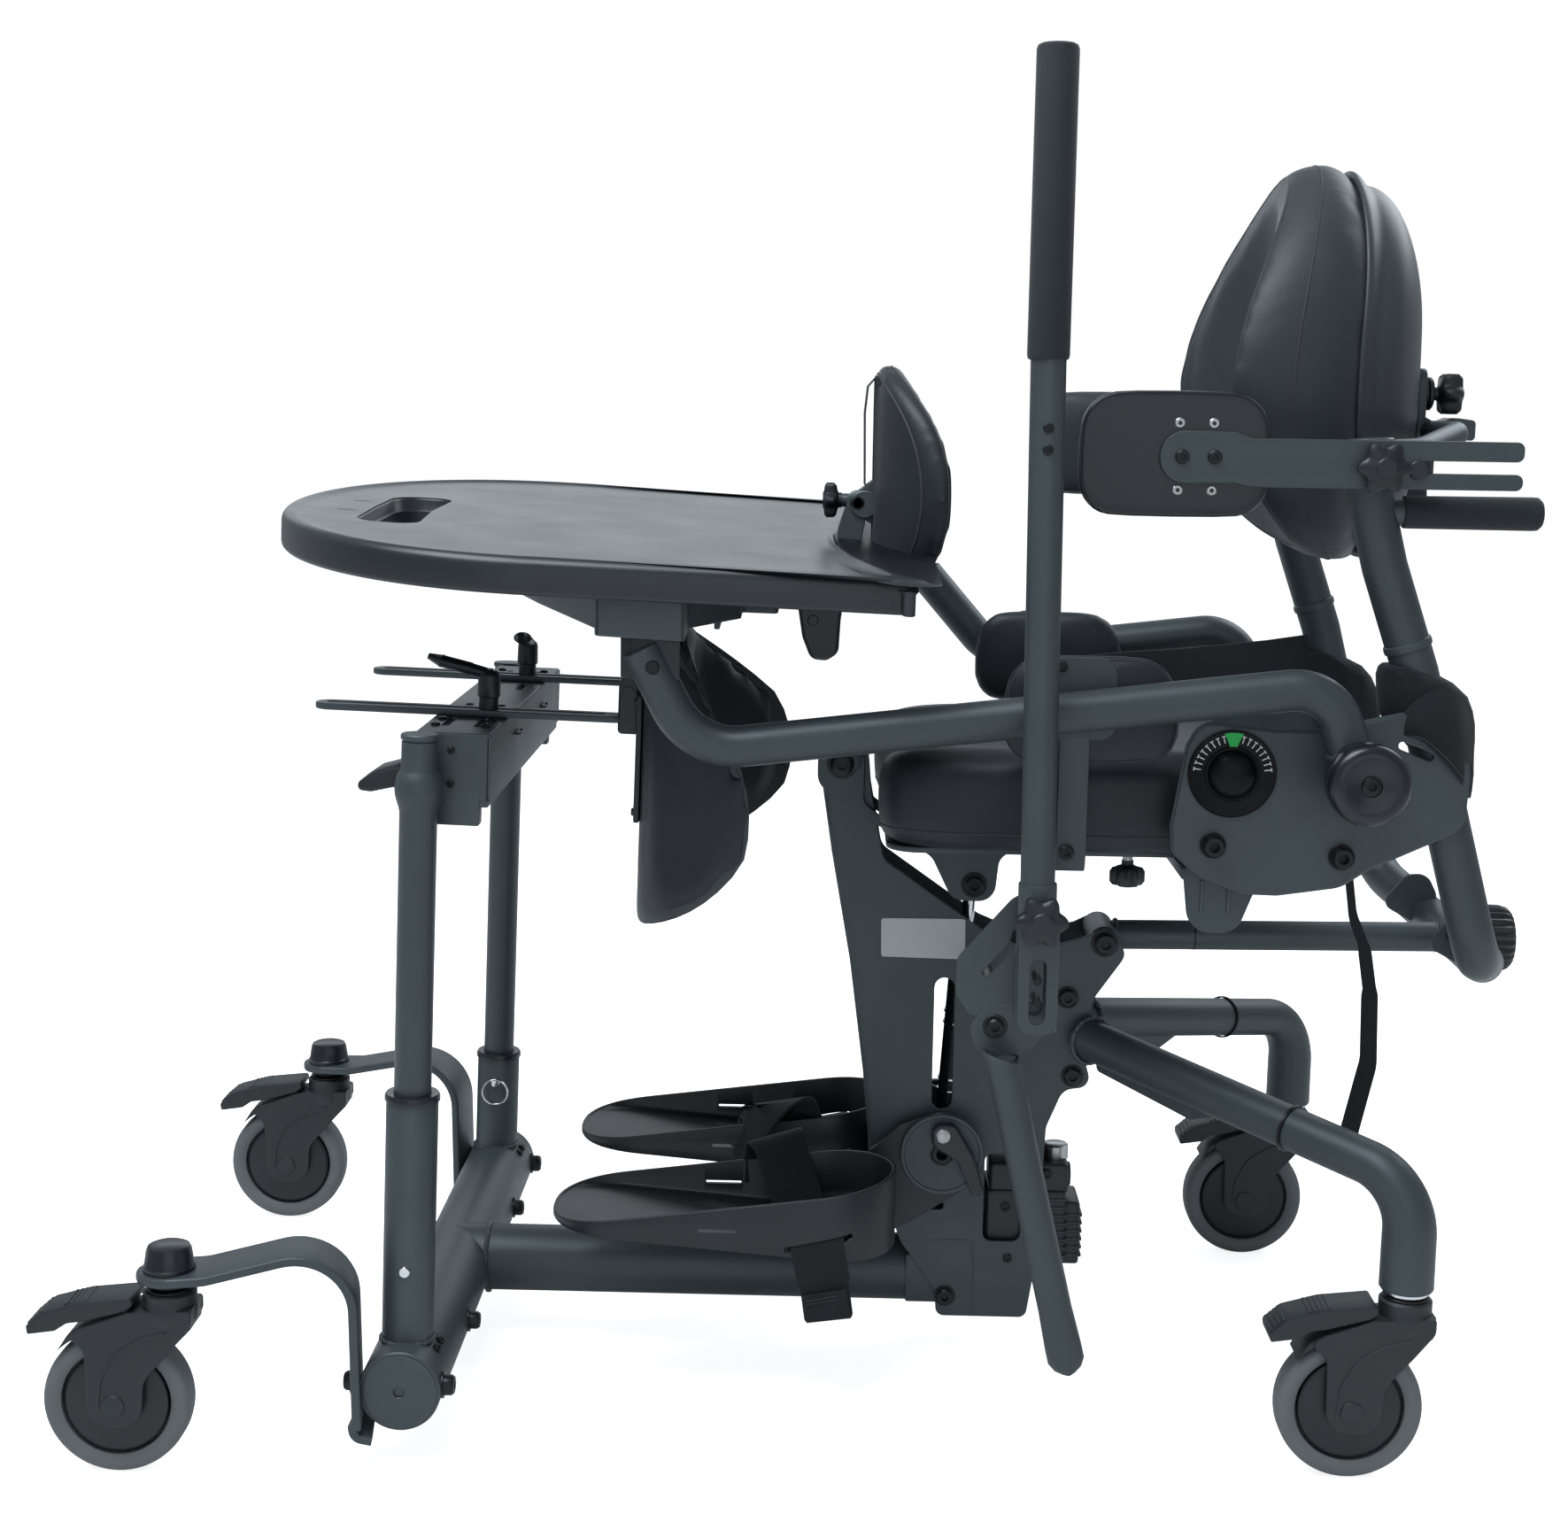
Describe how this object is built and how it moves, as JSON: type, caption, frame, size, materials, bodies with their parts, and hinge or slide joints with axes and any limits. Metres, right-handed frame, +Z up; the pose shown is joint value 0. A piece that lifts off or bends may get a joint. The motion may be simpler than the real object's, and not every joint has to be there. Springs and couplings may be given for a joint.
{
  "type": "standing frame",
  "caption": "Sit-to-stand standing frame with a lifting seat, wrap-round back, tray, knee pads, sandals and a hand pump lever on four braked casters",
  "frame": {"origin": "middle of the object's footprint, on the floor", "axes": "+X points to the back of the frame, -X is where the user faces, +Y is the user's right, +Z is up"},
  "size_m": [1.3158, 0.6814, 1.1872],
  "materials": {
    "frame_paint": "graphite powder coat",
    "black_plastic": "moulded black plastic",
    "fork_plastic": "dark grey nylon",
    "tyre": "grey tread on a dark hub",
    "black_vinyl": "black upholstery vinyl",
    "shell_black": "moulded black shell",
    "tray_plastic": "textured charcoal plastic",
    "chrome_rod": "polished"
  },
  "bodies": {
    "base": {"base_frame": "frame_paint", "spine_channel": "frame_paint", "pump_unit": "black_plastic", "rear_leg_left": "frame_paint", "rear_leg_right": "frame_paint", "caster_arm_left": "frame_paint", "caster_arm_right": "frame_paint"},
    "fork_front_left": {"caster_fork_front_left": "fork_plastic"},
    "wheel_front_left": {"caster_wheel_front_left": "tyre"},
    "pedal_front_left": {"brake_pedal_front_left": "black_plastic"},
    "fork_front_right": {"caster_fork_front_right": "fork_plastic"},
    "wheel_front_right": {"caster_wheel_front_right": "tyre"},
    "pedal_front_right": {"brake_pedal_front_right": "black_plastic"},
    "fork_rear_left": {"caster_fork_rear_left": "fork_plastic"},
    "wheel_rear_left": {"caster_wheel_rear_left": "tyre"},
    "pedal_rear_left": {"brake_pedal_rear_left": "black_plastic"},
    "fork_rear_right": {"caster_fork_rear_right": "fork_plastic"},
    "wheel_rear_right": {"caster_wheel_rear_right": "tyre"},
    "pedal_rear_right": {"brake_pedal_rear_right": "black_plastic"},
    "knee_frame": {"knee_post_left": "frame_paint", "knee_post_right": "frame_paint", "knee_beam": "frame_paint"},
    "knee_release": {"knee_release_paddle": "black_plastic"},
    "knee_bar_left": {"knee_bar_left": "frame_paint"},
    "ratchet_left": {"ratchet_handle_left": "black_plastic"},
    "knee_cup_left": {"knee_pad_left": "black_vinyl"},
    "knee_bar_right": {"knee_bar_right": "frame_paint"},
    "ratchet_right": {"ratchet_handle_right": "black_plastic"},
    "knee_cup_right": {"knee_pad_right": "black_vinyl"},
    "seat": {"seat_frame": "frame_paint", "seat_cushion": "black_vinyl"},
    "hip_left": {"hip_bracket_left": "frame_paint", "hip_pad_left": "black_vinyl"},
    "hip_right": {"hip_bracket_right": "frame_paint", "hip_pad_right": "black_vinyl"},
    "depth_knob": {"seat_depth_knob": "black_plastic"},
    "back": {"back_tube": "frame_paint", "side_plate_left": "frame_paint", "side_plate_right": "frame_paint", "angle_dial": "black_plastic"},
    "back_support": {"back_cushion": "black_vinyl", "back_shell": "shell_black"},
    "back_knob": {"back_knob": "black_plastic"},
    "lateral_left": {"lateral_arm_left": "frame_paint", "lateral_pad_left": "black_vinyl"},
    "lateral_right": {"lateral_arm_right": "frame_paint", "lateral_pad_right": "black_vinyl"},
    "tray_lift": {"tray_arm_left": "frame_paint", "tray_arm_right": "frame_paint", "tray_carrier": "frame_paint"},
    "tray": {"tray": "tray_plastic"},
    "chest": {"chest_pad": "black_vinyl"},
    "link": {"link_tube": "frame_paint"},
    "pump": {"pump_lever": "frame_paint"},
    "cylinder": {"actuator_cylinder": "black_plastic"},
    "rod": {"actuator_rod": "chrome_rod"},
    "foot_left": {"footplate_left": "black_plastic"},
    "foot_cam_left": {"foot_lever_left": "black_plastic"},
    "foot_right": {"footplate_right": "black_plastic"},
    "foot_cam_right": {"foot_lever_right": "black_plastic"}
  },
  "joints": [
    {"name": "swivel_front_left", "type": "hinge", "parent": "base", "child": "fork_front_left", "pos_m": [-0.5409, -0.3115, 0.16], "axis": [0, 0, 1], "continuous": true},
    {"name": "roll_front_left", "type": "hinge", "parent": "fork_front_left", "child": "wheel_front_left", "pos_m": [-0.5859, -0.3115, 0.0625], "axis": [0, 1, 0], "continuous": true},
    {"name": "brake_front_left", "type": "hinge", "parent": "fork_front_left", "child": "pedal_front_left", "pos_m": [-0.5739, -0.3115, 0.152], "axis": [0, -1, 0], "range_deg": [0, 5]},
    {"name": "swivel_front_right", "type": "hinge", "parent": "base", "child": "fork_front_right", "pos_m": [-0.5409, 0.3115, 0.16], "axis": [0, 0, 1], "continuous": true},
    {"name": "roll_front_right", "type": "hinge", "parent": "fork_front_right", "child": "wheel_front_right", "pos_m": [-0.5859, 0.3115, 0.0625], "axis": [0, 1, 0], "continuous": true},
    {"name": "brake_front_right", "type": "hinge", "parent": "fork_front_right", "child": "pedal_front_right", "pos_m": [-0.5739, 0.3115, 0.152], "axis": [0, -1, 0], "range_deg": [0, 5]},
    {"name": "swivel_rear_left", "type": "hinge", "parent": "base", "child": "fork_rear_left", "pos_m": [0.5071, -0.266, 0.16], "axis": [0, 0, 1], "continuous": true},
    {"name": "roll_rear_left", "type": "hinge", "parent": "fork_rear_left", "child": "wheel_rear_left", "pos_m": [0.4621, -0.266, 0.0625], "axis": [0, 1, 0], "continuous": true},
    {"name": "brake_rear_left", "type": "hinge", "parent": "fork_rear_left", "child": "pedal_rear_left", "pos_m": [0.4741, -0.266, 0.152], "axis": [0, -1, 0], "range_deg": [0, 5]},
    {"name": "swivel_rear_right", "type": "hinge", "parent": "base", "child": "fork_rear_right", "pos_m": [0.5071, 0.266, 0.16], "axis": [0, 0, 1], "continuous": true},
    {"name": "roll_rear_right", "type": "hinge", "parent": "fork_rear_right", "child": "wheel_rear_right", "pos_m": [0.4621, 0.266, 0.0625], "axis": [0, 1, 0], "continuous": true},
    {"name": "brake_rear_right", "type": "hinge", "parent": "fork_rear_right", "child": "pedal_rear_right", "pos_m": [0.4741, 0.266, 0.152], "axis": [0, -1, 0], "range_deg": [0, 5]},
    {"name": "knee_height", "type": "slide", "parent": "base", "child": "knee_frame", "axis": [0.0288, 0, 0.9996], "range_m": [-0.08, 0.01]},
    {"name": "knee_release_pivot", "type": "hinge", "parent": "knee_frame", "child": "knee_release", "pos_m": [-0.35429, 0, 0.58637], "axis": [0, 1, 0], "range_deg": [0, 12]},
    {"name": "knee_depth_left", "type": "slide", "parent": "knee_frame", "child": "knee_bar_left", "axis": [0.9996, 0, -0.0288], "range_m": [-0.06, 0.03]},
    {"name": "ratchet_turn_left", "type": "hinge", "parent": "knee_frame", "child": "ratchet_left", "pos_m": [-0.2963, -0.13, 0.63382], "axis": [0.0288, 0, 0.9996], "range_deg": [-45, 45]},
    {"name": "knee_pad_height_left", "type": "slide", "parent": "knee_bar_left", "child": "knee_cup_left", "axis": [0.0288, 0, 0.9996], "range_m": [-0.03, 0.01]},
    {"name": "knee_depth_right", "type": "slide", "parent": "knee_frame", "child": "knee_bar_right", "axis": [0.9996, 0, -0.0288], "range_m": [-0.06, 0.03]},
    {"name": "ratchet_turn_right", "type": "hinge", "parent": "knee_frame", "child": "ratchet_right", "pos_m": [-0.2963, 0.13, 0.63382], "axis": [0.0288, 0, 0.9996], "range_deg": [-45, 45]},
    {"name": "knee_pad_height_right", "type": "slide", "parent": "knee_bar_right", "child": "knee_cup_right", "axis": [0.0288, 0, 0.9996], "range_m": [-0.03, 0.01]},
    {"name": "seat_lift", "type": "hinge", "parent": "base", "child": "seat", "pos_m": [0.0186, 0, 0.576], "axis": [0, -1, 0], "range_deg": [0, 65]},
    {"name": "hip_width_left", "type": "slide", "parent": "seat", "child": "hip_left", "axis": [0, 1, 0], "range_m": [0, 0.02]},
    {"name": "hip_width_right", "type": "slide", "parent": "seat", "child": "hip_right", "axis": [0, -1, 0], "range_m": [0, 0.02]},
    {"name": "depth_knob_turn", "type": "hinge", "parent": "seat", "child": "depth_knob", "pos_m": [0.2766, -0.11, 0.5159], "axis": [0, 0, 1], "continuous": true},
    {"name": "back_level", "type": "hinge", "parent": "seat", "child": "back", "pos_m": [0.3526, 0, 0.58], "axis": [0, -1, 0], "range_deg": [-65, 0]},
    {"name": "back_height", "type": "slide", "parent": "back", "child": "back_support", "axis": [0, 0, 1], "range_m": [0, 0.03]},
    {"name": "back_knob_turn", "type": "hinge", "parent": "back", "child": "back_knob", "pos_m": [0.5409, 0, 0.9225], "axis": [1, 0, 0], "continuous": true},
    {"name": "lateral_reach_left", "type": "slide", "parent": "back", "child": "lateral_left", "axis": [-1, 0, 0], "range_m": [0, 0.04]},
    {"name": "lateral_reach_right", "type": "slide", "parent": "back", "child": "lateral_right", "axis": [-1, 0, 0], "range_m": [0, 0.04]},
    {"name": "tray_tilt", "type": "hinge", "parent": "back", "child": "tray_lift", "pos_m": [0.449, 0, 0.6043], "axis": [0, 1, 0], "range_deg": [0, 15]},
    {"name": "tray_depth", "type": "slide", "parent": "tray_lift", "child": "tray", "axis": [0.9989, 0, -0.0474], "range_m": [-0.04, 0.02]},
    {"name": "chest_tilt", "type": "hinge", "parent": "tray", "child": "chest", "pos_m": [0.0286, 0, 0.815], "axis": [0, 1, 0], "range_deg": [-10, 10]},
    {"name": "link_turn", "type": "hinge", "parent": "base", "child": "link", "pos_m": [0.2679, 0, 0.4098], "axis": [0, -1, 0], "range_deg": [0, 65]},
    {"name": "pump_stroke", "type": "hinge", "parent": "base", "child": "pump", "pos_m": [0.1503, -0.285, 0.3903], "axis": [0, 1, 0], "range_deg": [-6, 20]},
    {"name": "cylinder_swing", "type": "hinge", "parent": "base", "child": "cylinder", "pos_m": [0.1226, 0, 0.135], "axis": [0, 1, 0], "range_deg": [0, 2.02]},
    {"name": "rod_stroke", "type": "slide", "parent": "cylinder", "child": "rod", "axis": [0.0637, 0, 0.998], "range_m": [0, 0.1798]},
    {"name": "foot_tilt_left", "type": "hinge", "parent": "base", "child": "foot_left", "pos_m": [0.1196, -0.0483, 0.208], "axis": [0, 1, 0], "range_deg": [-10, 10]},
    {"name": "foot_cam_turn_left", "type": "hinge", "parent": "foot_left", "child": "foot_cam_left", "pos_m": [0.1196, -0.0606, 0.229], "axis": [0, -1, 0], "range_deg": [0, 60]},
    {"name": "foot_tilt_right", "type": "hinge", "parent": "base", "child": "foot_right", "pos_m": [0.1196, 0.0483, 0.208], "axis": [0, 1, 0], "range_deg": [-10, 10]},
    {"name": "foot_cam_turn_right", "type": "hinge", "parent": "foot_right", "child": "foot_cam_right", "pos_m": [0.1196, 0.0606, 0.229], "axis": [0, -1, 0], "range_deg": [0, 60]}
  ],
  "couplings": [
    {"joint": "back_level", "follows": "seat_lift", "ratio": -1},
    {"joint": "link_turn", "follows": "seat_lift", "ratio": 1},
    {"joint": "cylinder_swing", "follows": "seat_lift", "ratio": 0.03104},
    {"joint": "rod_stroke", "follows": "seat_lift", "m_per_rad": 0.15847}
  ]
}
